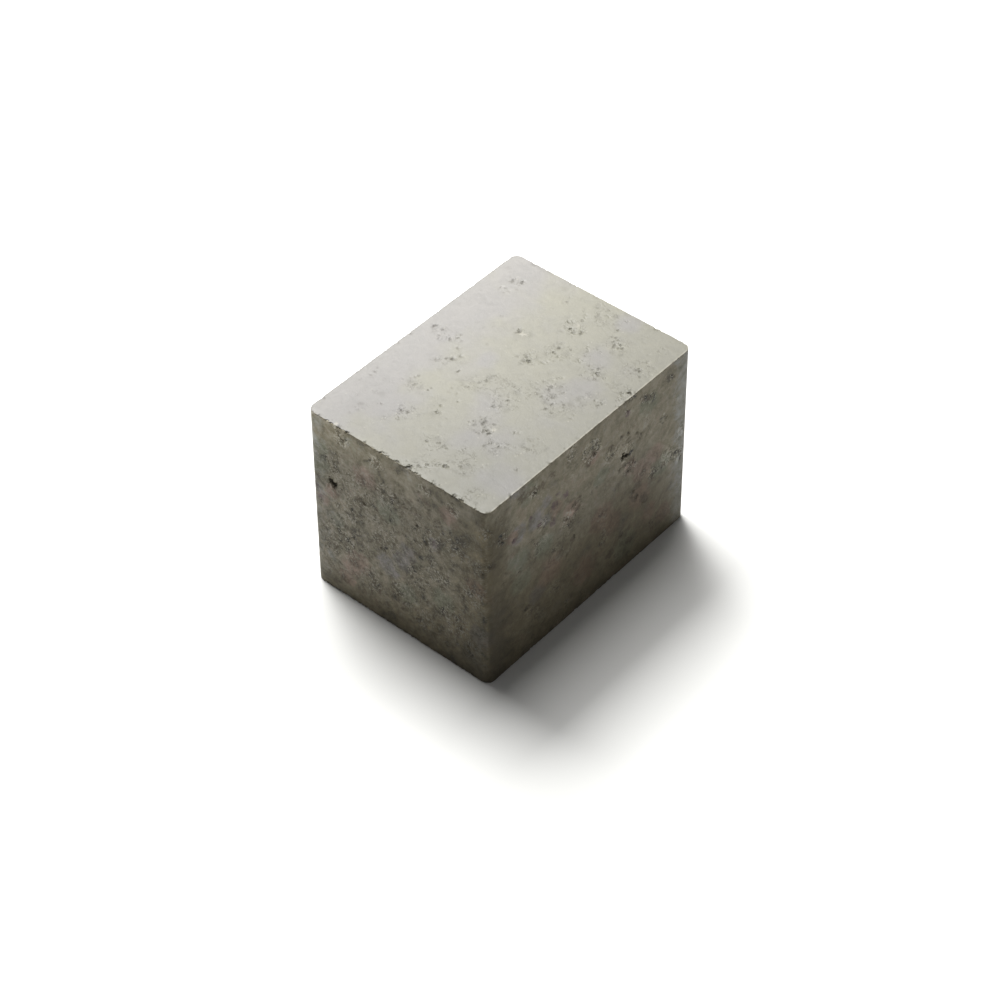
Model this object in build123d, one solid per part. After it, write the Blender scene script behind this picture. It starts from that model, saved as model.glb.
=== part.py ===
from build123d import *
import os

# Solid concrete block, wet-cast in one piece, in millimetres.
# It stands on its lower bed face with +Z up. The origin is the centre of that face,
# +X runs along the length and +Y across the width.

# Overall sizes, taken at the lower bed face: a 200 x 150 x 150 module less a 10 mm mortar joint
block_length = 190.0
block_width = 140.0
block_height = 140.0

# The mould's draft: each side leans in by this angle towards the upper bed face, in degrees
mould_draft = 0.5

# Rounding of the four upright corners, measured at the lower bed face, and of the two bed faces' arrises
corner_radius = 6.0
upper_arris_radius = 1.0
lower_arris_radius = 1.0


def drafted_prism():
    """The cast body: a rounded rectangle drawn up out of the mould, narrowing with the draft."""
    lower_bed = RectangleRounded(block_length, block_width, corner_radius)
    return extrude(lower_bed, amount=block_height, taper=mould_draft)


def break_arrises(body):
    """The sharp rims of both bed faces, rounded as they leave the mould."""
    upper_rim = body.faces().sort_by(Axis.Z)[-1].edges()
    body = fillet(upper_rim, upper_arris_radius)
    lower_rim = body.faces().sort_by(Axis.Z)[0].edges()
    return fillet(lower_rim, lower_arris_radius)


def concrete_block():
    """The whole block as one solid."""
    return break_arrises(drafted_prism())


os.makedirs("parts", exist_ok=True)
export_step(concrete_block(), "parts/concrete_block.step")
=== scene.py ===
"""A solid cast concrete block: its pitted body with worn arrises, its mottled finish and a studio stage."""

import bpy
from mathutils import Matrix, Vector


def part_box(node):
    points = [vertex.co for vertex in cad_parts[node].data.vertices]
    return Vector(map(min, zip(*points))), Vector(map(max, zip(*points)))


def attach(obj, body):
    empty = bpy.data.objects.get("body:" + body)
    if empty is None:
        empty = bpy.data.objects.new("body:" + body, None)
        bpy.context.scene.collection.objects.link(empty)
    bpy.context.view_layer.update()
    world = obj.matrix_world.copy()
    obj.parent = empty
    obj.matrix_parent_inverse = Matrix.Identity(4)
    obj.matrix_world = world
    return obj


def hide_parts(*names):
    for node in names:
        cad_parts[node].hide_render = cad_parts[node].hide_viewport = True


bl_info = {
    "name": "Concrete Block",
    "version": (1, 0, 0),
    "blender": (4, 5, 0),
    "location": "View3D > Sidebar > Concrete Block",
    "description": "Casts a solid concrete block with air pits and worn arrises, and sets it on a pale floor",
    "category": "Add Mesh",
}

import math
import random
from collections import namedtuple

import bmesh
import bpy
from bpy.props import FloatProperty, FloatVectorProperty, IntProperty, PointerProperty
from mathutils import Matrix, Vector, noise
from mathutils.kdtree import KDTree

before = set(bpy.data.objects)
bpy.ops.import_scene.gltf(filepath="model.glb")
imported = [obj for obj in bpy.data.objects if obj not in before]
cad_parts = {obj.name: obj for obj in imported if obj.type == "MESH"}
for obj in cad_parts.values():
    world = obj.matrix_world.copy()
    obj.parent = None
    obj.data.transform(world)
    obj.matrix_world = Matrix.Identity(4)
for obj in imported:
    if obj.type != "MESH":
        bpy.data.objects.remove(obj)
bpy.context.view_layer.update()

MM = 0.001

# The stage: the camera's sensor in mm, and the floor's half width and its gap below the block
SENSOR_WIDTH = 36.0
FLOOR_REACH = 8.0
FLOOR_GAP = 0.1 * MM

# The lamps: heights of the key softboxes and the back one, and the wide one's share of the key power
CEILING = 3.0
BACK_HEIGHT = 0.62
WIDE_SHARE = 0.47

low_corner, high_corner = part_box("concrete_block")
block_extent = high_corner - low_corner

# Each face by its outward direction
FACES = {
    "upper_bed": Vector((0, 0, 1)),
    "lower_bed": Vector((0, 0, -1)),
    "near_end": Vector((-1, 0, 0)),
    "far_end": Vector((1, 0, 0)),
    "near_side": Vector((0, -1, 0)),
    "far_side": Vector((0, 1, 0)),
}

# Air pits that stand out, by face: shares across and up it as seen from outside, then the radius in mm
PIT_SHARES = {
    "upper_bed": (
        (0.703, 0.634, 1.4), (0.837, 0.511, 1.0), (0.844, 0.498, 0.8), (0.830, 0.520, 0.6),
        (0.817, 0.479, 0.9), (0.806, 0.449, 0.9), (0.828, 0.428, 0.9), (0.819, 0.457, 0.6),
        (0.811, 0.466, 0.5), (0.840, 0.447, 0.5), (0.874, 0.471, 0.6), (0.900, 0.487, 0.6),
        (0.886, 0.478, 0.5), (0.612, 0.481, 1.2), (0.622, 0.489, 0.5), (0.635, 0.427, 0.7),
        (0.641, 0.505, 0.5), (0.646, 0.414, 0.5), (0.286, 0.332, 1.3), (0.281, 0.314, 1.0),
        (0.277, 0.340, 0.7), (0.294, 0.350, 0.7), (0.308, 0.374, 0.6), (0.325, 0.386, 0.6),
        (0.317, 0.392, 0.5), (0.290, 0.318, 0.6), (0.270, 0.414, 0.5), (0.282, 0.424, 0.6),
        (0.293, 0.412, 0.5), (0.086, 0.326, 1.0), (0.082, 0.346, 0.7), (0.093, 0.312, 0.6),
        (0.088, 0.356, 0.5), (0.176, 0.330, 0.6), (0.166, 0.338, 0.5), (0.186, 0.328, 0.5),
        (0.251, 0.562, 1.1), (0.258, 0.566, 0.5), (0.282, 0.579, 0.6), (0.327, 0.538, 0.5),
        (0.358, 0.579, 0.5), (0.189, 0.681, 1.0), (0.198, 0.657, 0.7), (0.159, 0.662, 0.7),
        (0.207, 0.648, 0.5), (0.172, 0.776, 0.6), (0.166, 0.786, 0.5), (0.126, 0.706, 0.5),
        (0.330, 0.779, 0.7), (0.299, 0.808, 0.5), (0.297, 0.749, 0.6), (0.309, 0.683, 0.7),
        (0.318, 0.790, 0.5), (0.553, 0.933, 0.9), (0.540, 0.912, 0.6), (0.527, 0.880, 0.6),
        (0.533, 0.829, 0.7), (0.554, 0.806, 0.6), (0.512, 0.868, 0.5), (0.562, 0.886, 0.5),
        (0.435, 0.785, 0.7), (0.441, 0.775, 0.5), (0.435, 0.664, 0.7), (0.884, 0.880, 1.1),
        (0.893, 0.874, 0.5), (0.897, 0.840, 0.8), (0.832, 0.844, 0.5), (0.830, 0.888, 0.5),
        (0.698, 0.031, 1.4), (0.653, 0.035, 0.6), (0.676, 0.046, 0.5), (0.710, 0.040, 0.7),
        (0.801, 0.086, 1.1), (0.808, 0.092, 0.5), (0.843, 0.088, 0.5), (0.720, 0.267, 0.7),
        (0.711, 0.237, 0.6), (0.703, 0.207, 1.0), (0.697, 0.196, 0.6), (0.682, 0.189, 0.6),
        (0.690, 0.216, 0.5), (0.856, 0.249, 1.0), (0.843, 0.267, 0.6), (0.872, 0.276, 0.6),
        (0.839, 0.241, 0.6), (0.850, 0.228, 0.5), (0.862, 0.262, 0.5), (0.777, 0.342, 0.6),
        (0.786, 0.352, 0.5), (0.769, 0.328, 0.5), (0.711, 0.314, 0.6), (0.716, 0.322, 0.5),
        (0.694, 0.433, 0.6), (0.685, 0.404, 0.6), (0.510, 0.296, 0.6), (0.514, 0.268, 0.5),
        (0.505, 0.231, 0.7), (0.516, 0.220, 0.5), (0.518, 0.183, 0.7), (0.506, 0.170, 0.5),
        (0.492, 0.114, 0.6), (0.511, 0.118, 0.5), (0.571, 0.239, 0.6), (0.549, 0.290, 0.5),
        (0.562, 0.311, 0.5), (0.604, 0.112, 0.7), (0.607, 0.080, 0.5), (0.619, 0.305, 0.6),
        (0.592, 0.330, 0.5), (0.431, 0.386, 0.7), (0.418, 0.370, 0.5), (0.444, 0.398, 0.5),
        (0.255, 0.233, 0.7), (0.334, 0.237, 0.7), (0.340, 0.226, 0.5), (0.158, 0.206, 0.5),
        (0.268, 0.140, 0.5), (0.213, 0.087, 0.5), (0.146, 0.404, 0.7), (0.150, 0.390, 0.5),
        (0.132, 0.472, 0.5), (0.016, 0.267, 0.7), (0.018, 0.148, 0.8), (0.030, 0.142, 0.6),
        (0.014, 0.427, 0.8), (0.040, 0.392, 0.7), (0.048, 0.382, 0.5), (0.032, 0.462, 0.5),
        (0.957, 0.326, 0.5), (0.940, 0.402, 0.5), (0.908, 0.316, 0.5),
    ),
    "near_end": (
        (0.127, 0.655, 1.9), (0.143, 0.648, 2.0), (0.182, 0.647, 0.8), (0.156, 0.784, 0.8),
        (0.150, 0.750, 0.8), (0.166, 0.738, 0.7), (0.140, 0.722, 0.7), (0.210, 0.945, 0.8),
        (0.364, 0.927, 0.8), (0.436, 0.922, 0.7), (0.793, 0.925, 0.8), (0.815, 0.912, 0.8),
        (0.662, 0.955, 0.7), (0.388, 0.773, 0.9), (0.430, 0.779, 0.8), (0.495, 0.806, 0.9),
        (0.513, 0.784, 0.7), (0.614, 0.707, 1.0), (0.555, 0.770, 0.7), (0.665, 0.648, 0.9),
        (0.638, 0.617, 0.9), (0.317, 0.642, 0.9), (0.733, 0.630, 0.8), (0.972, 0.652, 0.9),
        (0.850, 0.710, 0.7), (0.858, 0.457, 0.9), (0.912, 0.493, 0.9), (0.770, 0.464, 0.7),
        (0.847, 0.255, 1.0), (0.614, 0.421, 0.7), (0.632, 0.350, 0.7), (0.138, 0.279, 0.8),
        (0.090, 0.243, 0.8), (0.382, 0.171, 0.8), (0.300, 0.165, 0.7), (0.281, 0.080, 0.7),
        (0.567, 0.207, 0.7), (0.668, 0.195, 0.7), (0.186, 0.414, 0.7),
    ),
    "near_side": (
        (0.655, 0.690, 1.7), (0.671, 0.682, 1.8), (0.662, 0.706, 1.0), (0.681, 0.582, 1.1),
        (0.704, 0.612, 0.8), (0.641, 0.630, 0.9), (0.667, 0.874, 0.9), (0.597, 0.808, 1.0),
        (0.510, 0.855, 1.1), (0.584, 0.749, 0.9), (0.773, 0.800, 0.9), (0.874, 0.707, 0.9),
        (0.672, 0.938, 1.1), (0.383, 0.926, 0.9), (0.225, 0.910, 0.9), (0.071, 0.795, 1.3),
        (0.207, 0.790, 0.8), (0.246, 0.707, 0.8), (0.146, 0.470, 0.9), (0.418, 0.464, 1.2),
        (0.380, 0.389, 0.9), (0.185, 0.270, 1.0), (0.654, 0.220, 0.9), (0.817, 0.100, 1.0),
        (0.733, 0.380, 1.0), (0.764, 0.310, 1.0), (0.716, 0.430, 0.9), (0.410, 0.650, 0.9),
        (0.124, 0.737, 0.9), (0.330, 0.214, 0.8), (0.645, 0.702, 0.8), (0.681, 0.670, 0.8),
        (0.668, 0.662, 0.7),
    ),
}

# The deepest pits: index in each face's list of pits, then the depth in mm
DEEP_PITS = {("near_end", 0): 2.4, ("near_end", 1): 2.8, ("near_side", 0): 2.6, ("near_side", 1): 3.0}

# Broken spots along the near end's upper rim: share across, the radius in mm, then the stretch into the bed
RIM_CHIP_SHARES = (
    (0.075, 0.8, 1.5), (0.120, 1.0, 1.4), (0.145, 0.8, 1.0), (0.190, 1.3, 1.0), (0.232, 1.4, 1.2),
    (0.330, 0.8, 1.5), (0.420, 1.1, 2.0), (0.455, 0.8, 1.5), (0.500, 1.1, 2.6), (0.560, 1.4, 3.2),
    (0.580, 1.1, 1.2), (0.612, 1.2, 1.5), (0.632, 1.0, 1.2), (0.700, 0.8, 1.5), (0.760, 0.8, 1.2),
    (0.816, 1.2, 1.4), (0.855, 1.3, 1.6), (0.930, 0.8, 1.5),
)

# Direction over the bed face in which the rim's broken spots are drawn out
CHIP_SLANT = (0.85, -0.53, 0.0)

# Stains and rough patches by tint, then by face: shares across and up, then the radius in mm
STAIN_SHARES = {
    "cool": {
        "upper_bed": (
            (0.27, 0.31, 24), (0.37, 0.41, 20), (0.59, 0.20, 22), (0.75, 0.27, 14), (0.15, 0.10, 18),
            (0.13, 0.91, 16), (0.54, 0.92, 14), (0.72, 0.90, 16), (0.96, 0.31, 12), (0.54, 0.61, 9),
        ),
        "near_end": (
            (0.56, 0.50, 9), (0.44, 0.36, 11), (0.52, 0.44, 10), (0.71, 0.66, 6), (0.95, 0.27, 10),
            (0.04, 0.57, 5),
        ),
        "near_side": (
            (0.28, 0.80, 6), (0.28, 0.70, 6), (0.15, 0.75, 9), (0.23, 0.75, 9), (0.24, 0.31, 10),
        ),
    },
    "rust": {
        "near_end": (
            (0.07, 0.53, 7), (0.26, 0.26, 12), (0.32, 0.80, 11), (0.79, 0.87, 9), (0.19, 0.12, 9),
            (0.93, 0.55, 8), (0.22, 0.20, 10), (0.12, 0.60, 6),
        ),
        "near_side": (
            (0.40, 0.64, 9), (0.33, 0.72, 8), (0.50, 0.83, 7), (0.12, 0.76, 6), (0.69, 0.60, 8),
            (0.76, 0.52, 13), (0.75, 0.37, 13), (0.82, 0.55, 10), (0.30, 0.39, 14), (0.55, 0.43, 14),
            (0.61, 0.35, 11), (0.47, 0.21, 14), (0.80, 0.22, 10), (0.88, 0.14, 10),
        ),
    },
    "moss": {
        "near_end": (
            (0.05, 0.72, 12), (0.07, 0.83, 9), (0.45, 0.68, 11), (0.15, 0.43, 8), (0.75, 0.35, 12),
            (0.55, 0.25, 10),
        ),
        "near_side": (
            (0.15, 0.59, 13), (0.16, 0.46, 11), (0.27, 0.56, 11), (0.86, 0.44, 9), (0.68, 0.14, 14),
            (0.20, 0.93, 11), (0.78, 0.88, 12), (0.55, 0.68, 9),
        ),
    },
    "plum": {
        "near_side": (
            (0.318, 0.745, 4.4), (0.372, 0.752, 4.2), (0.313, 0.652, 4.4), (0.130, 0.733, 2.6),
            (0.205, 0.785, 2.2), (0.248, 0.705, 2.4), (0.335, 0.790, 2.6), (0.672, 0.920, 3.4),
        ),
        "near_end": ((0.055, 0.525, 3.4), (0.035, 0.585, 3.0), (0.710, 0.660, 3.4)),
    },
    "umber": {
        "near_side": (
            (0.170, 0.940, 6.0), (0.215, 0.915, 6.5), (0.262, 0.915, 4.4), (0.310, 0.930, 4.4),
            (0.505, 0.858, 4.4), (0.478, 0.820, 4.0), (0.415, 0.650, 3.3), (0.432, 0.620, 4.0),
            (0.440, 0.662, 3.4), (0.376, 0.612, 3.7), (0.395, 0.565, 3.3), (0.685, 0.585, 4.4),
            (0.700, 0.625, 4.0), (0.660, 0.640, 3.0), (0.725, 0.445, 4.4), (0.711, 0.410, 4.0),
            (0.725, 0.380, 4.4), (0.744, 0.445, 3.6), (0.764, 0.344, 4.6), (0.762, 0.495, 4.0),
            (0.782, 0.314, 3.6), (0.742, 0.938, 3.2), (0.764, 0.922, 3.4), (0.786, 0.904, 3.0),
            (0.880, 0.934, 2.6), (0.904, 0.914, 2.6), (0.590, 0.805, 3.2), (0.655, 0.225, 3.4),
            (0.817, 0.135, 4.0), (0.065, 0.795, 4.6), (0.870, 0.440, 3.6), (0.955, 0.420, 3.0),
            (0.185, 0.275, 3.4), (0.408, 0.455, 3.6), (0.030, 0.690, 4.0), (0.600, 0.165, 5.0),
            (0.700, 0.150, 5.0),
        ),
        "near_end": (
            (0.127, 0.652, 2.8), (0.145, 0.618, 3.2), (0.168, 0.612, 3.0), (0.185, 0.630, 2.8),
            (0.310, 0.640, 3.6), (0.280, 0.655, 3.1), (0.388, 0.775, 3.3), (0.490, 0.795, 3.4),
            (0.617, 0.705, 3.4), (0.665, 0.640, 3.6), (0.600, 0.618, 3.1), (0.730, 0.630, 3.1),
            (0.860, 0.695, 3.3), (0.982, 0.862, 2.7), (0.985, 0.735, 2.8), (0.972, 0.650, 2.8),
            (0.815, 0.918, 2.8), (0.395, 0.925, 3.0), (0.665, 0.945, 2.7), (0.850, 0.245, 3.9),
            (0.820, 0.205, 3.4), (0.385, 0.165, 3.4), (0.130, 0.275, 3.3), (0.090, 0.250, 3.1),
            (0.290, 0.095, 3.6), (0.200, 0.430, 3.6), (0.150, 0.380, 3.1), (0.300, 0.535, 3.0),
            (0.750, 0.420, 3.4), (0.900, 0.480, 3.1), (0.160, 0.735, 2.4), (0.205, 0.940, 3.0),
            (0.600, 0.190, 3.4), (0.730, 0.790, 4.6), (0.680, 0.805, 4.0), (0.165, 0.535, 5.0),
            (0.755, 0.275, 5.0), (0.785, 0.300, 4.0),
        ),
    },
    "coarse": {
        "upper_bed": (
            (0.46, 0.48, 14), (0.42, 0.39, 12), (0.51, 0.38, 12), (0.42, 0.56, 9), (0.30, 0.35, 10),
            (0.14, 0.46, 9), (0.13, 0.29, 11), (0.25, 0.24, 10), (0.51, 0.22, 13), (0.57, 0.30, 12),
            (0.60, 0.12, 10), (0.70, 0.22, 10), (0.71, 0.42, 12), (0.82, 0.46, 10), (0.85, 0.26, 11),
            (0.92, 0.40, 10), (0.78, 0.33, 9), (0.19, 0.68, 9), (0.30, 0.74, 9), (0.54, 0.87, 9),
            (0.88, 0.86, 7), (0.80, 0.08, 12), (0.44, 0.77, 6), (0.06, 0.40, 9), (0.05, 0.12, 8),
            (0.69, 0.05, 9), (0.33, 0.12, 8), (0.62, 0.50, 8), (0.90, 0.10, 8), (0.12, 0.83, 6),
        ),
        "near_end": (
            (0.25, 0.69, 15), (0.44, 0.77, 10), (0.65, 0.66, 13), (0.84, 0.71, 11), (0.42, 0.52, 13),
            (0.61, 0.40, 10), (0.82, 0.27, 15), (0.17, 0.33, 17), (0.20, 0.53, 12), (0.53, 0.25, 12),
            (0.73, 0.49, 12), (0.91, 0.48, 9), (0.33, 0.20, 12), (0.64, 0.16, 10), (0.15, 0.75, 5),
            (0.39, 0.925, 7), (0.815, 0.92, 7), (0.66, 0.94, 6), (0.20, 0.94, 8), (0.05, 0.20, 8),
            (0.97, 0.70, 7), (0.97, 0.88, 6),
        ),
        "near_side": (
            (0.50, 0.88, 11), (0.66, 0.94, 4), (0.69, 0.92, 4), (0.75, 0.93, 5), (0.79, 0.90, 5),
            (0.89, 0.92, 5), (0.59, 0.76, 9), (0.67, 0.69, 9), (0.69, 0.60, 9), (0.82, 0.44, 7),
            (0.88, 0.46, 9), (0.39, 0.61, 10), (0.26, 0.70, 6), (0.95, 0.42, 8), (0.07, 0.80, 6),
            (0.22, 0.92, 5), (0.40, 0.95, 7), (0.86, 0.71, 6), (0.96, 0.55, 7),
        ),
    },
    "lime": {
        "near_end": ((0.163, 0.988, 1.9), (0.628, 0.715, 1.4), (0.690, 0.700, 1.6), (0.585, 0.300, 1.2)),
        "upper_bed": (
            (0.700, 0.614, 2.7), (0.012, 0.836, 2.0), (0.302, 0.314, 1.9), (0.842, 0.468, 2.0),
            (0.668, 0.056, 1.4),
        ),
        "near_side": ((0.668, 0.712, 1.6), (0.860, 0.735, 1.8), (0.930, 0.905, 1.6), (0.380, 0.640, 1.4)),
    },
}


def length_property(label, description, value):
    """A length that the user can change."""
    return FloatProperty(name=label, description=description, default=value, min=0.0, unit="LENGTH")


def angle_property(label, description, degrees):
    """An angle that the user can change."""
    return FloatProperty(name=label, description=description, default=math.radians(degrees), subtype="ANGLE")


def amount_property(label, description, value):
    """A plain amount that the user can change."""
    return FloatProperty(name=label, description=description, default=value, min=0.0)


def colour_property(label, description, value):
    """A colour that the user can change."""
    return FloatVectorProperty(
        name=label, description=description, default=value, subtype="COLOR", min=0.0, max=1.0
    )


class BlockSizes(bpy.types.PropertyGroup):
    """The cast body's sizes, the spacing of its mesh and the seed of its small pits."""

    length: length_property("Length", "Length along X", block_extent.x)
    width: length_property("Width", "Width along Y", block_extent.y)
    height: length_property("Height", "Height along Z", block_extent.z)
    draft: angle_property("Draft", "Lean of the sides", 0.5)
    corner_radius: length_property("Corner Radius", "Rounding of the upright corners", 5.4 * MM)
    arris_radius: length_property("Arris Radius", "Rounding of the bed faces' rims", 0.35 * MM)
    grid: length_property("Grid", "Spacing of the mesh on open faces", 2.4 * MM)
    seed: IntProperty(name="Seed", description="Places of the small air pits", default=7)


class BlockColours(bpy.types.PropertyGroup):
    """The colours of the concrete, some of which also paint its sheen and shade."""

    bed_warm: colour_property("Bed, Warm", "Yellowish paste of the upper bed face", (0.1525, 0.1465, 0.1135))
    bed_cool: colour_property("Bed, Cool", "Lilac grey paste of the upper bed face", (0.1495, 0.1425, 0.1310))
    side: colour_property("Side", "Paste of the sides", (0.169, 0.1505, 0.107))
    rust: colour_property("Rust", "Reddish stains on the sides", (0.186, 0.141, 0.108))
    slate: colour_property("Slate", "Bluish grey patches on the sides", (0.155, 0.144, 0.132))
    moss: colour_property("Moss", "Greenish grey patches on the sides", (0.150, 0.151, 0.108))
    # Edge: a painted sheen, the pale slate grey that the outer uprights show where they turn towards the
    # backdrop
    edge: colour_property("Edge", "Slate grey of the upright corners", (0.192, 0.190, 0.170))
    plum: colour_property("Plum", "Dark purple spots on the sides", (0.092, 0.062, 0.066))
    umber: colour_property("Umber", "Dark brown smears on the sides", (0.080, 0.063, 0.038))
    # Foot: the brown cast given to the sides where the painted shade is darkest
    foot: colour_property("Foot", "Brown cast of the dark foot", (1.000, 0.920, 0.700))
    damp: colour_property("Damp", "Warm cast of the darkest skin on the sides", (1.000, 0.985, 0.890))
    dry: colour_property("Dry", "Cool cast of the palest skin on the sides", (0.935, 0.945, 1.000))
    # Dark colour of the dust in the pits and of sand specks, and also the painted shade that darkens the pits
    # and dents
    dust_and_shade: colour_property("Pit", "Dust inside the pits and sand specks", (0.030, 0.0255, 0.0145))
    lime: colour_property("Lime", "Pale lime flecks and worn rims", (0.330, 0.310, 0.255))


class BlockStage(bpy.types.PropertyGroup):
    """The floor, the lamps and the camera."""

    floor_colour: colour_property("Floor", "Pale floor", (0.607, 0.607, 0.591))
    key_power: amount_property("Key Power", "Power of the key softboxes", 271.0)
    back_power: amount_property("Back Power", "Power of the softbox behind", 3.0)
    fill_strength: amount_property("Fill Strength", "Light that the room gives", 0.17)
    backdrop_strength: amount_property("Backdrop Strength", "Brightness that the camera sees", 1.05)
    camera_azimuth: angle_property("Camera Azimuth", "Bearing of the camera", -49.26)
    camera_elevation: angle_property("Camera Elevation", "Angle of the camera above the floor", 44.33)
    camera_roll: angle_property("Camera Roll", "Roll of the camera", -0.348)
    camera_distance: length_property("Camera Distance", "Distance from the aim point", 1.51423)
    camera_aim: FloatVectorProperty(
        name="Camera Aim", description="Point in view", default=(-0.01411, -0.01009, 0.05614), unit="LENGTH"
    )
    lens: amount_property("Lens", "Focal length in mm", 90.0)


# A hollow in the skin: its middle, radius and depth, and the direction and factor of its stretch
Bite = namedtuple("Bite", "centre radius depth along stretch")


def lean_at(sizes, height):
    """How far a side stands in from its foot at this height."""
    return math.tan(sizes.draft) * height


def face_axes(name):
    """Outward, across and up directions of a face as seen from outside."""
    outward = FACES[name]
    up = Vector((0, 1, 0)) if outward.z else Vector((0, 0, 1))
    return outward, up.cross(outward), up


def point_on_face(sizes, name, across_share, up_share):
    """The point at these shares of a face, on the plain body."""
    outward, across, up = face_axes(name)
    extent = Vector((sizes.length, sizes.width, sizes.height))
    place = Vector((0, 0, sizes.height / 2))
    place += outward * abs(outward.dot(extent)) / 2
    place += across * abs(across.dot(extent)) * (across_share - 0.5)
    place += up * abs(up.dot(extent)) * (up_share - 0.5)
    if not outward.z:
        place -= outward * lean_at(sizes, place.z)
    return place


def side_gap(sizes, place):
    """How far inside the upright sides a point lies, on plan."""
    lean = lean_at(sizes, place.z)
    half_x = sizes.length / 2 - lean
    half_y = sizes.width / 2 - lean
    past_x = abs(place.x) - (half_x - sizes.corner_radius)
    past_y = abs(place.y) - (half_y - sizes.corner_radius)
    if past_x > 0 and past_y > 0:
        return sizes.corner_radius - math.hypot(past_x, past_y)
    return min(half_x - abs(place.x), half_y - abs(place.y))


def arris_gap(sizes, place):
    """Distance over the surface from a point to the nearest rim of a bed face."""
    return max(side_gap(sizes, place), min(place.z, sizes.height - place.z))


def plain_body(sizes):
    """The drafted prism with rounded corners and arrises."""
    body = bmesh.new()
    bmesh.ops.create_cube(body, size=1.0)
    bmesh.ops.scale(body, verts=body.verts, vec=(sizes.length, sizes.width, sizes.height))
    bmesh.ops.translate(body, verts=body.verts, vec=(0, 0, sizes.height / 2))
    upper = [v for v in body.verts if v.co.z > sizes.height / 2]
    lean = lean_at(sizes, sizes.height)
    narrowing = (1 - 2 * lean / sizes.length, 1 - 2 * lean / sizes.width, 1)
    bmesh.ops.scale(body, verts=upper, vec=narrowing)
    uprights = [e for e in body.edges if abs(e.verts[0].co.z - e.verts[1].co.z) > sizes.height / 2]
    bmesh.ops.bevel(
        body, geom=uprights, offset=sizes.corner_radius, affect="EDGES", segments=6, profile=0.5, material=-1
    )
    rims = [e for e in body.edges if abs(e.verts[0].co.z - e.verts[1].co.z) < sizes.height / 2]
    bmesh.ops.bevel(
        body, geom=rims, offset=sizes.arris_radius, affect="EDGES", segments=2, profile=0.5, material=-1
    )
    return body


def slice_body(body, sizes):
    """Cuts the body by evenly spaced planes along each axis, so that its faces can be shaped."""
    same_place = 1e-7
    low = Vector((-sizes.length / 2, -sizes.width / 2, 0))
    extent = Vector((sizes.length, sizes.width, sizes.height))
    for axis in range(3):
        direction = Vector((0, 0, 0))
        direction[axis] = 1
        count = round(extent[axis] / sizes.grid)
        for step in range(1, count):
            place = low + direction * extent[axis] * step / count
            everything = body.verts[:] + body.edges[:] + body.faces[:]
            bmesh.ops.bisect_plane(body, geom=everything, dist=same_place, plane_co=place, plane_no=direction)


def refine(body, chosen, longest):
    """Halves the edges that are longer than this and have both ends among the chosen vertices."""
    edges = []
    for edge in body.edges:
        if edge.verts[0] in chosen and edge.verts[1] in chosen and edge.calc_length() > longest:
            edges.append(edge)
    bmesh.ops.subdivide_edges(body, edges=edges, cuts=1, use_grid_fill=True, use_single_edge=True)


def tree_of(body):
    """A search tree over the body's vertices."""
    body.verts.ensure_lookup_table()
    tree = KDTree(len(body.verts))
    for index, vert in enumerate(body.verts):
        tree.insert(vert.co, index)
    tree.balance()
    return tree


def near_bites(body, bites, margin):
    """The vertices that lie in a bite or within this margin of one."""
    tree = tree_of(body)
    found = set()
    for bite in bites:
        for _, index, _ in tree.find_range(bite.centre, bite.radius * bite.stretch + margin):
            found.add(body.verts[index])
    return found


def near_rims(body, sizes, reach):
    """The vertices within this reach of a rim."""
    return {v for v in body.verts if arris_gap(sizes, v.co) < reach}


def refine_skin(body, sizes, bites, sharpest):
    """Makes the mesh finer at the rims, at the rough near end and round the bites, most in the sharpest."""
    rough_reach = 4 * MM
    rough = {v for v in body.verts if v.co.x < -sizes.length / 2 + rough_reach}
    coarse_zone = near_bites(body, bites, 2.2 * MM) | near_rims(body, sizes, 3.5 * MM) | rough
    refine(body, coarse_zone, 0.55 * sizes.grid)
    fine_zone = near_bites(body, bites, 0.8 * MM) | near_rims(body, sizes, 2.2 * MM)
    refine(body, fine_zone, 0.3 * sizes.grid)
    refine(body, near_bites(body, sharpest, 0.3 * MM), 0.16 * sizes.grid)


def stretched_bite(draw, name, place, radius, depth, most_stretch):
    """A bite at this place on a face, drawn out in a random direction."""
    _, across, up = face_axes(name)
    turn = draw.uniform(0, math.pi)
    along = across * math.cos(turn) + up * math.sin(turn)
    return Bite(place, radius, depth, along, draw.uniform(1.0, most_stretch))


def landmark_bites(sizes):
    """The air pits that stand out."""
    draw = random.Random(sizes.seed)
    most_stretch = 2.2
    bites = []
    for name, pits in PIT_SHARES.items():
        for index, (across_share, up_share, radius) in enumerate(pits):
            place = point_on_face(sizes, name, across_share, up_share)
            depth = DEEP_PITS.get((name, index), radius * draw.uniform(0.35, 0.65))
            bites.append(stretched_bite(draw, name, place, radius * MM, depth * MM, most_stretch))
    return bites


def scattered_bites(sizes):
    """Small air pits in clusters: many on the faces out of view, a few between those that stand out."""
    draw = random.Random(sizes.seed + 1)
    clusters = {"upper_bed": 2, "lower_bed": 22, "near_end": 9, "far_end": 20, "near_side": 5, "far_side": 24}
    spread = 3.2 * MM
    most_stretch = 1.7
    bites = []
    for name, count in clusters.items():
        _, across, up = face_axes(name)
        for _ in range(count):
            middle = point_on_face(sizes, name, draw.uniform(0.04, 0.96), draw.uniform(0.04, 0.96))
            for _ in range(draw.randint(1, 5)):
                place = middle + across * draw.gauss(0, spread) + up * draw.gauss(0, spread)
                radius = draw.uniform(0.7, 1.3) * MM
                depth = radius * draw.uniform(0.35, 0.7)
                bites.append(stretched_bite(draw, name, place, radius, depth, most_stretch))
    return bites


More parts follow.
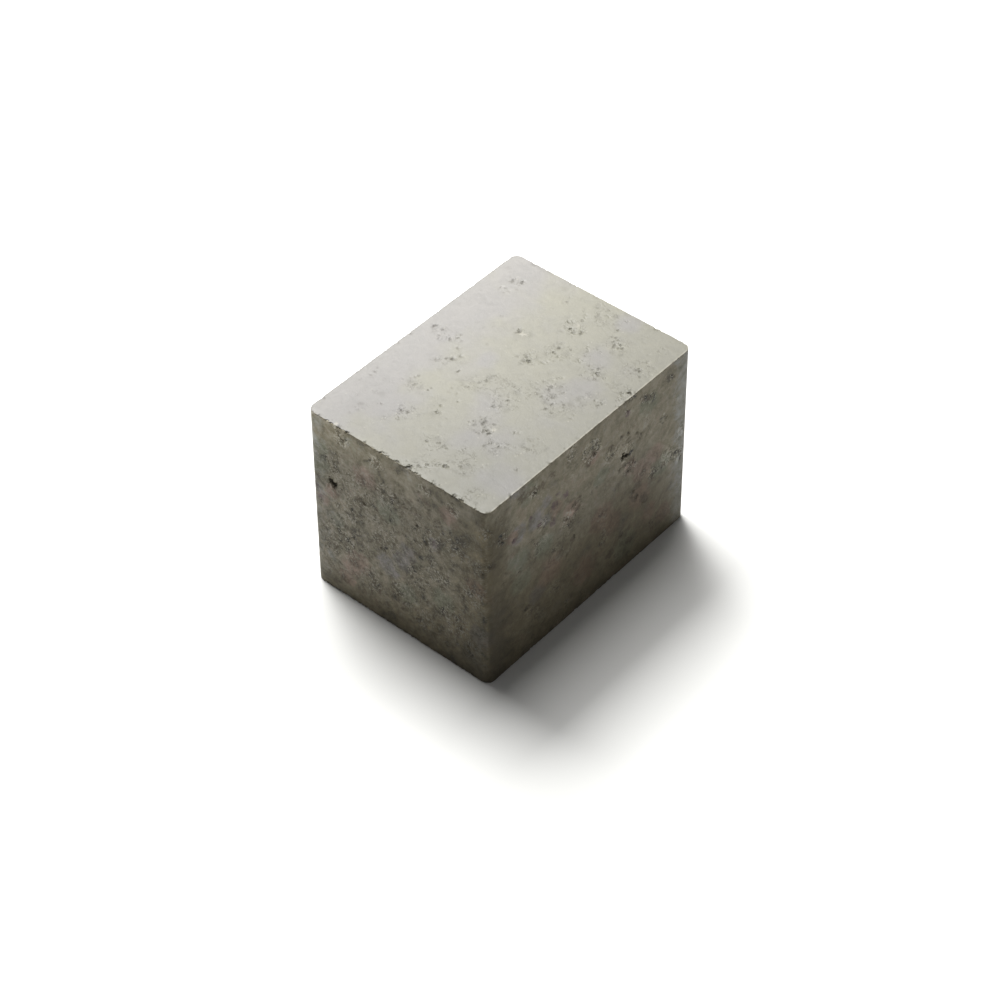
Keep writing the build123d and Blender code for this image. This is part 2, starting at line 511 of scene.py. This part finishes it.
def rim_chips(sizes):
    """Chips along the rims of both bed faces: more on the near end, and most on its upper rim."""
    draw = random.Random(sizes.seed + 2)
    depth_share = 0.8
    most_stretch = 1.8
    bites = []
    for across_share, radius, stretch in RIM_CHIP_SHARES:
        place = point_on_face(sizes, "near_end", across_share, 1.0)
        bites.append(Bite(place, radius * MM, radius * depth_share * MM, Vector(CHIP_SLANT), stretch))
    for name, outward in FACES.items():
        if outward.z:
            continue
        count = 24 if name == "near_end" else 10
        for up_share in (0.0, 1.0):
            for _ in range(count):
                place = point_on_face(sizes, name, draw.uniform(0.03, 0.97), up_share)
                radius = draw.uniform(0.5, 1.1) * MM
                depth = radius * draw.uniform(0.3, 0.6)
                bites.append(stretched_bite(draw, name, place, radius, depth, most_stretch))
    return bites


def eased(value, low, high):
    """0 below low and 1 above high, smooth between."""
    share = min(1.0, max(0.0, (value - low) / (high - low)))
    return share * share * (3 - 2 * share)


def roughness_at(sizes, vert):
    """How rough the skin is here: most on the near end below its upper band."""
    near_end = max(0.0, -vert.normal.x) ** 2
    return 0.3 + 1.3 * near_end * (1 - eased(vert.co.z / sizes.height, 0.65, 0.85))


def skin_depth(sizes, vert):
    """Waviness of the cast skin, as a depth inwards."""
    place = vert.co
    broad = noise.noise(place / (70 * MM))
    middle = noise.noise(place / (14 * MM) + Vector((7, 1, 3)))
    fine = noise.fractal(place / (3.4 * MM), 0.9, 2.0, 2)
    waves = 0.08 * (0.5 + 0.5 * broad)
    lumps = 0.05 * (0.5 + 0.5 * middle) + 0.14 * max(0.0, 0.2 + fine)
    return (waves + roughness_at(sizes, vert) * lumps) * MM


def nibble_depth(sizes, vert):
    """Small ragged losses along the rims of the bed faces, deeper on the near end's upper rim."""
    gap = arris_gap(sizes, vert.co)
    reach = 1.8 * MM
    if gap > reach:
        return 0.0
    ragged = max(0.0, noise.fractal(vert.co / (2.4 * MM), 0.7, 2.0, 3) + 0.1)
    worst = vert.co.z > sizes.height / 2 and vert.co.x < -sizes.length / 2 + 6 * MM
    strength = 0.4 if worst else 0.3
    return strength * ragged * (1 - gap / reach) * MM


def bite_depths(tree, bites):
    """Depth of each bitten vertex below the plain skin."""
    ragged_reach = 1.6
    ragged_size = 1.1 * MM
    depths = {}
    for bite in bites:
        for place, index, _ in tree.find_range(bite.centre, bite.radius * bite.stretch * ragged_reach):
            offset = place - bite.centre
            offset -= bite.along * offset.dot(bite.along) * (1 - 1 / bite.stretch)
            ragged = 1 + 0.8 * noise.noise(place / ragged_size)
            share = offset.length / bite.radius * ragged
            if share < 1:
                depths[index] = max(depths.get(index, 0.0), bite.depth * (1 - share * share) ** 0.7)
    return depths


def upright_gap(sizes, place):
    """Distance on plan from a point to the nearest upright corner."""
    lean = lean_at(sizes, place.z)
    return math.hypot(sizes.length / 2 - lean - abs(place.x), sizes.width / 2 - lean - abs(place.y))


def paint_faces(body, sizes):
    """Notes on each vertex its face and how near it is to a rim or an upright, for the finish."""
    face_names = ("upper_bed", "near_end", "near_side")
    rim_reach = 1.6 * MM
    upright_reach = 20 * MM
    layers = {name: body.verts.layers.float.new(name) for name in face_names + ("worn", "upright")}
    for vert in body.verts:
        for name in face_names:
            vert[layers[name]] = eased(vert.normal.dot(FACES[name]), 0.55, 0.9)
        vert[layers["worn"]] = max(0.0, 1 - arris_gap(sizes, vert.co) / rim_reach)
        # Painted sheen, on only the uprights between a near face and a far one, where the rounded corner
        # turns towards the bright backdrop
        if vert.co.x * vert.co.y < 0:
            vert[layers["upright"]] = max(0.0, 1 - upright_gap(sizes, vert.co) / upright_reach)


def paint_spot(body, tree, layer, centre, reach):
    """Notes a round spot in a layer, strongest in its middle."""
    for _, index, distance in tree.find_range(centre, reach):
        body.verts[index][layer] = max(body.verts[index][layer], 1 - (distance / reach) ** 2)


def paint_pocks(body, tree, bites):
    """Notes the pocked skin round each bite."""
    layer = body.verts.layers.float.new("pocked")
    body.verts.ensure_lookup_table()
    for bite in bites:
        paint_spot(body, tree, layer, bite.centre, max(2.6 * bite.radius, 3.4 * MM))


def paint_stains(body, tree, sizes):
    """Notes the stains on the vertices, one number for each tint."""
    for tint, faces in STAIN_SHARES.items():
        layer = body.verts.layers.float.new(tint)
        body.verts.ensure_lookup_table()
        for name, stains in faces.items():
            for across_share, up_share, radius in stains:
                centre = point_on_face(sizes, name, across_share, up_share)
                paint_spot(body, tree, layer, centre, radius * MM)


def shape_skin(body, tree, sizes, bites):
    """Pushes every vertex inwards by the waves, nibbles and bites of the skin, and notes the hollows."""
    hollow = body.verts.layers.float.new("hollow")
    full_hollow = 1.2 * MM
    depths = bite_depths(tree, bites)
    moves = []
    for index, vert in enumerate(body.verts):
        bitten = depths.get(index, 0.0)
        moves.append(-vert.normal * (skin_depth(sizes, vert) + nibble_depth(sizes, vert) + bitten))
        vert[hollow] = min(1.0, bitten / full_hollow)
    for vert, move in zip(body.verts, moves):
        vert.co += move


def add_object(name, data):
    """A new object in the scene."""
    made = bpy.data.objects.new(name, data)
    bpy.context.scene.collection.objects.link(made)
    return made


def add_piece(name, mesh_source, material):
    """A new object in the scene from a finished bmesh."""
    mesh = bpy.data.meshes.new(name)
    mesh_source.to_mesh(mesh)
    mesh_source.free()
    mesh.materials.append(material)
    return add_object(name, mesh)


class Signal:
    """One output of a node. Sums and products of signals and numbers add Math nodes."""

    def __init__(self, tree, socket):
        self.tree = tree
        self.socket = socket

    def math(self, operation, first, second):
        """The result of a Math node on two values."""
        sockets = {"Value": first, "Value_001": second}
        return add_node(self.tree, "ShaderNodeMath", {"operation": operation}, sockets)

    def __add__(self, other):
        return self.math("ADD", self, other)

    def __radd__(self, other):
        return self.math("ADD", other, self)

    def __sub__(self, other):
        return self.math("SUBTRACT", self, other)

    def __rsub__(self, other):
        return self.math("SUBTRACT", other, self)

    def __mul__(self, other):
        return self.math("MULTIPLY", self, other)

    def __rmul__(self, other):
        return self.math("MULTIPLY", other, self)

    def __truediv__(self, other):
        return self.math("DIVIDE", self, other)

    def __rtruediv__(self, other):
        return self.math("DIVIDE", other, self)

    def clamped(self):
        """The same signal, held between 0 and 1."""
        return add_node(self.tree, "ShaderNodeClamp", {}, {"Value": self})

    def ramp(self, low, high):
        """0 at low and before it, 1 at high and past it, smooth between. Either may be larger."""
        settings = {"interpolation_type": "SMOOTHSTEP"}
        sockets = {"Value": self, "From Min": low, "From Max": high}
        return add_node(self.tree, "ShaderNodeMapRange", settings, sockets)


def add_node(tree, kind, settings, sockets, output=0):
    """A node of this kind: its settings are set first, then its sockets get values or links."""
    made = tree.nodes.new(kind)
    for name, value in settings.items():
        setattr(made, name, value)
    for identifier, value in sockets.items():
        socket = next(s for s in made.inputs if s.identifier == identifier)
        if isinstance(value, Signal):
            tree.links.new(value.socket, socket)
        else:
            socket.default_value = value
    return Signal(tree, made.outputs[output]) if made.outputs else None


class Concrete:
    """The concrete's material in the making: its nodes, and the masks and noises that its layers share."""

    def __init__(self, name, sizes):
        self.material = bpy.data.materials.new(name)
        self.material.use_nodes = True
        self.tree = self.material.node_tree
        self.tree.nodes.clear()
        self.place = self.node("ShaderNodeTexCoord", {}, {}, output=3)
        self.place_x, self.place_y, self.place_z = self.parts(self.place)
        self.length_share = self.place_x / sizes.length
        self.depth_share = self.place_y / sizes.width
        self.height_share = self.place_z / sizes.height
        self.bed = self.attribute("upper_bed")
        self.near_end = self.attribute("near_end")
        self.near_side = self.attribute("near_side")
        self.pocked = self.attribute("pocked")
        self.add_noises()
        self.add_roughness_masks()

    def add_noises(self):
        """The soft noises, from the broadest lumps to the finest."""
        self.broad = self.cloud(48 * MM, 2.0, 0.5, (0.8, 0.5, 0.6))
        self.drift = self.cloud(17 * MM, 2.0, 0.5, (0.6, 0.3, 0.9))
        self.mottle = self.cloud(14 * MM, 6.0, 0.7, (0.3, 0.1, 0.2), 0.6)
        self.patches = self.cloud(11 * MM, 2.0, 0.5, (0.9, 0.6, 0.2), 0.8)
        self.smudge = self.cloud(7.6 * MM, 4.0, 0.64, (0.6, 0.1, 0.5), 1.3)
        self.strokes = self.cloud(3.6 * MM, 2.0, 0.6, (0.5, 0.6, 0.7), 2.2)
        self.winding = self.cloud(3.2 * MM, 2.0, 0.6, (0.4, 0.7, 0.3), 2.2)
        self.grain = self.cloud(2.4 * MM, 2.0, 0.7, (0.2, 0.8, 0.1), 0.9)
        self.pocks = self.cloud(1.8 * MM, 2.0, 0.6, (0.2, 0.5, 0.9), 1.0)

    def add_roughness_masks(self):
        """Where the skin is calm, rough or coarse, and where it is pocked beside the pits of the sides."""
        self.calm = self.near_end * (self.height_share.ramp(0.78, 0.90) + self.height_share.ramp(0.15, 0.05))
        uneven = 1.6 * (1.0 - 0.8 * self.calm) * (self.drift - 0.5)
        self.rough = (0.9 * self.attribute("coarse") + uneven).ramp(0.05, 0.6)
        self.coarse = (self.rough + 0.4 * (self.near_end - self.calm)).clamped() * (1.0 - self.bed)
        tattered = (self.pocked * (4.0 * self.smudge - 1.2)).clamped()
        self.beside = tattered * (1.0 - self.bed) * (1.0 - 0.5 * self.near_end)

    def node(self, kind, settings, sockets, output=0):
        """A node of this material."""
        return add_node(self.tree, kind, settings, sockets, output)

    def vectors(self, operation, sockets):
        """The result of a Vector Math node."""
        return self.node("ShaderNodeVectorMath", {"operation": operation}, sockets)

    def shifted(self, shift):
        """The place on the block, moved so that two patterns of one size differ."""
        return self.vectors("ADD", {"Vector": self.place, "Vector_001": shift})

    def cloud(self, size, detail, roughness, shift, distortion=0.0):
        """Soft noise with lumps of this size."""
        lumps = {"Scale": 1 / size, "Detail": detail, "Roughness": roughness, "Distortion": distortion}
        return self.node("ShaderNodeTexNoise", {}, {"Vector": self.shifted(shift), **lumps})

    def spots(self, size, shift):
        """Ragged spots about this far apart: the distance to each one's middle, and a chance for each."""
        lumps = {"Vector": self.place, "Scale": 2 / size, "Detail": 1.0}
        wander = self.node("ShaderNodeTexNoise", {}, lumps, output=1)
        reach = (0.4 * size, 0.4 * size, 0.4 * size)
        moved = {"Vector": wander, "Vector_001": reach, "Vector_002": self.shifted(shift)}
        ragged = self.vectors("MULTIPLY_ADD", moved)
        distance = self.node("ShaderNodeTexVoronoi", {}, {"Vector": ragged, "Scale": 1 / size})
        chance = self.parts(Signal(self.tree, distance.socket.node.outputs["Color"]))[0]
        return distance, chance

    def attribute(self, name):
        """A number that the body's vertices carry."""
        return self.node("ShaderNodeAttribute", {"attribute_name": name}, {}, output=2)

    def parts(self, vector):
        """The X, Y and Z of a vector."""
        first = self.node("ShaderNodeSeparateXYZ", {}, {"Vector": vector})
        return [Signal(self.tree, socket) for socket in first.socket.node.outputs]

    def mix(self, factor, first, second):
        """The first colour where factor is 0, the second where it is 1."""
        sockets = {"Factor_Float": factor, "A_Color": opaque(first), "B_Color": opaque(second)}
        return self.node("ShaderNodeMix", {"data_type": "RGBA", "clamp_factor": True}, sockets, output=2)

    def tint(self, colour, other):
        """Two colours multiplied."""
        return self.vectors("MULTIPLY", {"Vector": colour, "Vector_001": other})

    def scale(self, colour, amount):
        """A colour made lighter or darker."""
        return self.vectors("SCALE", {"Vector": colour, "Scale": amount})


def opaque(colour):
    """A colour with its alpha, for a socket. A signal stays as it is."""
    return colour if isinstance(colour, Signal) else (*colour, 1.0)


def bed_paste(skin, colours):
    """Paste of the upper bed face: yellowish with lilac drifts. Painted light and sheen make it paler and
    cooler towards its far edge and a little paler towards the far end, and painted shade darkens it towards
    the near end, away from its near and far rims.
    """
    depth_share = skin.depth_share
    lilac = skin.cloud(26 * MM, 2.0, 0.5, (0.9, 0.4, 0.8))
    # The lilac drifts and cool stains are the paste's own; the turn to cool towards the far edge is painted
    # sheen
    hue = 0.42 * skin.attribute("cool") + 1.1 * (lilac - 0.5) + 0.65 * depth_share.ramp(0.0, 0.46)
    paste = skin.mix(hue.ramp(0.0, 0.6), colours.bed_warm, colours.bed_cool)
    inner = depth_share.ramp(0.48, 0.36) * depth_share.ramp(-0.48, -0.36)
    # Painted shade: darker towards the near end, away from the bed's near and far rims
    painted_near_end_shade = 0.09 * inner * skin.length_share.ramp(-0.12, -0.38)
    # Painted light and sheen: paler towards the far edge and the far end
    return skin.scale(paste, 1.0 + 0.38 * depth_share + 0.11 * skin.length_share - painted_near_end_shade)


def side_paste(skin, colours):
    """Paste of the sides: greenish, bluish and reddish drifts, a painted sheen of slate grey on the outer
    uprights, dark spots and smears.
    """
    paste = colours.side
    # Painted sheen on the outer uprights, strongest by the near side
    upright = skin.attribute("upright") * (0.5 + 0.8 * skin.near_side)
    for stain, size, colour, shift in (
        (skin.attribute("moss"), 15 * MM, colours.moss, (0.1, 0.6, 0.3)),
        (skin.attribute("cool"), 11 * MM, colours.slate, (0.5, 0.2, 0.9)),
        (skin.attribute("rust"), 9 * MM, colours.rust, (0.7, 0.9, 0.4)),
        (upright, 9 * MM, colours.edge, (0.3, 0.5, 0.6)),
    ):
        ragged = 0.9 * stain + 2.0 * (skin.cloud(size, 5.0, 0.7, shift, 1.0) - 0.5)
        paste = skin.mix(ragged.ramp(0.05, 0.7), paste, colour)
    strength = 0.82 - 0.25 * skin.near_end
    for stain, size, tatter, colour, shift in (
        (skin.attribute("plum"), 4.5 * MM, 2.4, colours.plum, (0.8, 0.3, 0.2)),
        (skin.attribute("umber"), 4.0 * MM, 4.5, colours.umber, (0.2, 0.9, 0.5)),
    ):
        ragged = stain * (0.9 + tatter * (skin.cloud(size, 3.0, 0.65, shift, 1.4) - 0.5))
        paste = skin.mix(strength * ragged.ramp(0.12, 0.75), paste, colour)
    return paste


def painted_side_shade(skin, sizes):
    """Painted shade and light on the sides: darker towards the foot, low on the ends and high on the near
    side; lighter in the near end's upper band and towards the far side, and along the near side towards the
    far end; and a dark band by the front corner.
    """
    wander = skin.mottle - 0.5
    rise = skin.height_share + 0.12 * (skin.broad - 0.5) + 0.06 * wander
    end_share = skin.near_end * skin.depth_share
    end_rise = rise + 0.40 * end_share
    end_shade = 0.42 + 0.46 * end_rise.ramp(-0.06, 0.36) + (0.46 + 0.34 * end_share) * rise.ramp(0.74, 0.98)
    end_shade = end_shade * (1.0 + (0.77 * rise - 0.12) * end_share)
    near_rise = rise + 0.34 * skin.length_share.ramp(0.25, 0.48)
    near_shade = 0.55 + 0.70 * near_rise.ramp(0.27, 0.84)
    shade = end_shade + skin.near_side * (near_shade - end_shade)
    along_side = skin.place_x + sizes.length / 2 + 16 * MM * wander
    along_end = skin.place_y + sizes.width / 2 + 12 * MM * wander
    side_band = (0.44 + 0.16 * rise.ramp(0.55, 0.75)) * along_side.ramp(31 * MM, 8 * MM)
    end_band = 0.28 * along_end.ramp(35 * MM, 4 * MM)
    band = skin.near_side * side_band + skin.near_end * end_band
    return shade * (1.0 - band * rise.ramp(1.04, 0.88))


def mottled(skin, colours, paste):
    """The paste in lighter and darker patches. On the sides dark skin is warmer and pale skin cooler."""
    bed, near_end, near_side, coarse = skin.bed, skin.near_end, skin.near_side, skin.coarse
    cloudy = 1.8 - 1.30 * bed + 1.4 * near_end
    smudged = 1.2 - 0.90 * bed + (1.7 + 1.4 * near_side) * coarse + 0.7 * (near_end - skin.calm)
    grainy = 0.6 - 0.45 * bed + (1.1 + 1.1 * near_side) * coarse
    patchy = 0.5 - 0.50 * bed + 0.9 * near_end
    tone = 1.0 + cloudy * (skin.mottle - 0.5) + smudged * (skin.smudge - 0.5)
    tone = tone + grainy * (skin.grain - 0.5) + patchy * (skin.patches - 0.5)
    paste = skin.scale(paste, tone)
    cast = skin.mix(tone.ramp(0.6, 1.4), colours.damp, colours.dry)
    return skin.mix(bed, skin.tint(paste, cast), paste)


def dents_in(skin):
    """Dents: strokes on coarse skin and pocks beside the pits, and specks, smears and scuffs on the bed."""
    pocked, rough = skin.pocked, skin.rough
    stroked = (0.55 - 0.20 * skin.near_end) * skin.coarse
    dents = stroked * skin.strokes.ramp(0.57, 0.68) + 0.75 * skin.pocks.ramp(0.54, 0.64) * skin.beside
    small, small_chance = skin.spots(3.6 * MM, (0.9, 0.2, 0.4))
    large, large_chance = skin.spots(6.5 * MM, (0.1, 0.7, 0.2))
    specks = small.ramp(0.52, 0.08) * (small_chance + 0.50 * pocked + 0.30 * rough).ramp(0.78, 1.30)
    smears = large.ramp(0.56, 0.08) * (large_chance + 0.5 * rough).ramp(0.70, 1.20)
    scuffs = skin.strokes.ramp(0.54, 0.66) * (0.15 + 0.85 * rough)
    return dents + skin.bed * (specks * skin.pocks.ramp(0.34, 0.58) + 0.45 * smears + 0.32 * scuffs)


def winding_flecks(skin):
    """Winding flecks of lime on the sides, most of them on coarse skin."""
    flecks = (skin.winding + 0.020 * skin.near_end).ramp(0.53, 0.65)
    return flecks * (0.15 + 0.85 * skin.coarse) * (1.0 - skin.bed)


def lime_share(skin, flecks):
    """How much lime shows: the flecks, lips beside the pocks, crumbs on the bed and a few larger flakes."""
    pale, pale_chance = skin.spots(2.1 * MM, (0.3, 0.4, 0.1))
    chance = (pale_chance + 0.45 * skin.pocked + 0.1 * skin.rough).ramp(0.88, 1.05)
    crumbs = skin.bed * pale.ramp(0.36, 0.16) * chance
    lips = skin.pocks.ramp(0.42, 0.34) * skin.beside + crumbs
    flakes = (skin.attribute("lime") * (4.0 * skin.pocks - 1.0)).ramp(0.2, 0.9)
    return 0.95 * flecks + 0.30 * lips + flakes * (0.9 - 0.25 * skin.bed)


def worn_rims_and_shaded_pits(skin, colours, paste):
    """The paste with pale worn rims, darker ragged rim lines, and pits dusted dark and darkened by painted
    shade, from the body's own shape.
    """
    worn = skin.attribute("worn").ramp(0.2, 0.8)
    pale_rim = worn * skin.bed * skin.depth_share.ramp(-0.45, -0.49)
    paste = skin.mix(pale_rim * (0.25 + skin.smudge) * 0.6, paste, colours.lime)
    # A darker ragged line along the bed's far rim and the near end's rims
    dark_rim = worn * (0.35 * skin.bed * skin.depth_share.ramp(0.45, 0.49) + 0.60 * skin.near_end)
    paste = skin.mix(dark_rim * skin.winding.ramp(0.40, 0.60), paste, colours.dust_and_shade)
    # Deeper hollows darker: dusted dark in part, and in part painted shade inside the pits
    hollow = skin.attribute("hollow") - 0.12 * (1.0 - skin.bed)
    dust_and_pit_shade = hollow.ramp(0.10, 0.60) * (0.35 + 0.9 * skin.pocks)
    return skin.mix(dust_and_pit_shade, paste, colours.dust_and_shade)


def skin_bump(skin, dents, flecks):
    """The fine relief of the skin, as a normal."""
    relief = 0.9 * skin.mottle + (0.4 + 0.5 * skin.coarse) * skin.smudge
    relief = relief + (0.3 - 0.2 * skin.bed + 0.4 * skin.coarse) * skin.grain - dents + 0.5 * flecks
    return skin.node("ShaderNodeBump", {}, {"Strength": 0.7, "Distance": 0.35 * MM, "Height": relief})


def concrete_finish(colours, sizes):
    """Mottled cast concrete: stained paste, dents, lime flecks, worn rims, pits dusted dark and darkened by
    painted shade, a painted sheen on the outer uprights, painted light on the bed, and painted shade that
    darkens the foot of the sides.
    """
    skin = Concrete("cast_concrete", sizes)
    # Painted shade and light on the sides, with a browner cast where the painted shade is darkest
    shade = painted_side_shade(skin, sizes)
    sides = skin.scale(side_paste(skin, colours), shade)
    sides = skin.tint(sides, skin.mix(shade.ramp(1.0, 0.4), (1, 1, 1), colours.foot))
    paste = mottled(skin, colours, skin.mix(skin.bed, sides, bed_paste(skin, colours)))
    dents = dents_in(skin)
    # Dents darkened in colour: dark sand specks in part, and in part painted shade in the dents
    paste = skin.mix(0.5 * dents, paste, colours.dust_and_shade)
    flecks = winding_flecks(skin)
    # The lime on the sides darkened by the same painted shade
    lime = skin.scale(colours.lime, 0.78 * skin.bed + (1.0 - skin.bed) * shade)
    paste = skin.mix(lime_share(skin, flecks), paste, lime)
    paste = worn_rims_and_shaded_pits(skin, colours, paste)
    roughness = 0.55 + 0.25 * (skin.mottle - 0.5) + 0.22 * (1.0 - skin.bed)
    bump = skin_bump(skin, dents, flecks)
    sockets = {"Base Color": paste, "Roughness": roughness, "Normal": bump}
    shader = skin.node("ShaderNodeBsdfPrincipled", {}, sockets)
    skin.node("ShaderNodeOutputMaterial", {}, {"Surface": shader})
    return skin.material


def floor_finish(colour):
    """Plain pale matt floor."""
    material = bpy.data.materials.new("pale_floor")
    material.use_nodes = True
    shader = material.node_tree.nodes["Principled BSDF"]
    shader.inputs["Base Color"].default_value = opaque(colour)
    shader.inputs["Roughness"].default_value = 0.9
    shader.inputs["Specular IOR Level"].default_value = 0.0
    return material


class OBJECT_OT_cast_block(bpy.types.Operator):
    """Cast the concrete block with its air pits and worn arrises"""

    bl_idname = "object.cast_block"
    bl_label = "Cast Block"

    def execute(self, context):
        sizes = context.scene.block_sizes
        body = plain_body(sizes)
        slice_body(body, sizes)
        landmarks = landmark_bites(sizes)
        chips = rim_chips(sizes)
        bites = landmarks + scattered_bites(sizes) + chips
        refine_skin(body, sizes, bites, landmarks + chips[: len(RIM_CHIP_SHARES)])
        body.normal_update()
        tree = tree_of(body)
        paint_faces(body, sizes)
        paint_stains(body, tree, sizes)
        paint_pocks(body, tree, bites)
        shape_skin(body, tree, sizes, bites)
        bmesh.ops.triangulate(body, faces=[f for f in body.faces if len(f.verts) > 4])
        for face in body.faces:
            face.smooth = True
        piece = add_piece("block_body", body, concrete_finish(context.scene.block_colours, sizes))
        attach(piece, "root")
        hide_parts("concrete_block")
        return {"FINISHED"}


def add_softbox(name, slope, spread, height, power):
    """A soft lamp at this height that shines straight down. Its place and size are shares of its height."""
    lamp = bpy.data.lights.new(name, "AREA")
    lamp.shape = "RECTANGLE"
    lamp.size = spread[0] * height
    lamp.size_y = spread[1] * height
    lamp.energy = power
    add_object(name, lamp).location = (slope[0] * height, slope[1] * height, height)


def studio_world(fill_strength, backdrop_strength):
    """A dim white room that the camera sees as a bright backdrop."""
    world = bpy.data.worlds.new("studio")
    world.use_nodes = True
    tree = world.node_tree
    tree.nodes.clear()
    white = opaque((1, 1, 1))
    seen_by_camera = add_node(tree, "ShaderNodeLightPath", {}, {})
    fill = add_node(tree, "ShaderNodeBackground", {}, {"Color": white, "Strength": fill_strength})
    backdrop = add_node(tree, "ShaderNodeBackground", {}, {"Color": white, "Strength": backdrop_strength})
    sockets = {"Fac": seen_by_camera, "Shader": fill, "Shader_001": backdrop}
    mixed = add_node(tree, "ShaderNodeMixShader", {}, sockets)
    add_node(tree, "ShaderNodeOutputWorld", {}, {"Surface": mixed})
    return world


def add_camera(settings):
    """The camera at its bearing, height and roll, aimed at a point in the block."""
    camera = bpy.data.cameras.new("camera")
    camera.lens = settings.lens
    camera.sensor_width = SENSOR_WIDTH
    camera_object = add_object("camera", camera)
    azimuth, elevation, roll = settings.camera_azimuth, settings.camera_elevation, settings.camera_roll
    level = math.cos(elevation)
    back = Vector((math.sin(azimuth) * level, -math.cos(azimuth) * level, math.sin(elevation)))
    right = Vector((math.cos(azimuth), math.sin(azimuth), 0))
    up = back.cross(right)
    rolled_right = math.cos(roll) * right + math.sin(roll) * up
    rolled_up = math.cos(roll) * up - math.sin(roll) * right
    turn = Matrix((rolled_right, rolled_up, back)).transposed().to_4x4()
    place = Vector(settings.camera_aim) + back * settings.camera_distance
    camera_object.matrix_world = Matrix.Translation(place) @ turn
    return camera_object


class OBJECT_OT_set_stage(bpy.types.Operator):
    """Set the pale floor, the soft lamps and the camera"""

    bl_idname = "object.set_stage"
    bl_label = "Set Stage"

    def execute(self, context):
        settings = context.scene.block_stage
        floor_mesh = bmesh.new()
        bmesh.ops.create_grid(floor_mesh, x_segments=1, y_segments=1, size=FLOOR_REACH)
        bmesh.ops.translate(floor_mesh, verts=floor_mesh.verts, vec=(0, 0, -FLOOR_GAP))
        floor = add_piece("floor", floor_mesh, floor_finish(settings.floor_colour))
        wide_power = settings.key_power * WIDE_SHARE
        key_power = settings.key_power - wide_power
        add_softbox("wide_softbox", (0.18, 0.42), (0.50, 0.76), CEILING, wide_power)
        add_softbox("key_softbox", (0.195, 0.53), (0.434, 0.38), CEILING, key_power)
        add_softbox("back_softbox", (0.62, 0.62), (0.40, 0.40), BACK_HEIGHT, settings.back_power)
        context.scene.world = studio_world(settings.fill_strength, settings.backdrop_strength)
        context.scene.camera = add_camera(settings)
        context.scene.view_settings.view_transform = "Standard"
        return {"FINISHED"}


class VIEW3D_PT_concrete_block(bpy.types.Panel):
    """The block's sizes, colours and stage"""

    bl_label = "Concrete Block"
    bl_idname = "VIEW3D_PT_concrete_block"
    bl_space_type = "VIEW_3D"
    bl_region_type = "UI"
    bl_category = "Concrete Block"

    def draw(self, context):
        layout = self.layout
        for group in (context.scene.block_sizes, context.scene.block_colours, context.scene.block_stage):
            column = layout.column(align=True)
            for name in group.__annotations__:
                column.prop(group, name)
        layout.operator(OBJECT_OT_cast_block.bl_idname)
        layout.operator(OBJECT_OT_set_stage.bl_idname)


CLASSES = (
    BlockSizes,
    BlockColours,
    BlockStage,
    OBJECT_OT_cast_block,
    OBJECT_OT_set_stage,
    VIEW3D_PT_concrete_block,
)


def register():
    """Registers the classes and puts their settings on the scene."""
    for cls in CLASSES:
        bpy.utils.register_class(cls)
    bpy.types.Scene.block_sizes = PointerProperty(type=BlockSizes)
    bpy.types.Scene.block_colours = PointerProperty(type=BlockColours)
    bpy.types.Scene.block_stage = PointerProperty(type=BlockStage)


def unregister():
    """Takes the settings off the scene and unregisters the classes."""
    del bpy.types.Scene.block_sizes
    del bpy.types.Scene.block_colours
    del bpy.types.Scene.block_stage
    for cls in reversed(CLASSES):
        bpy.utils.unregister_class(cls)


def main():
    register()
    bpy.ops.object.cast_block()
    bpy.ops.object.set_stage()


if __name__ == "__main__":
    main()
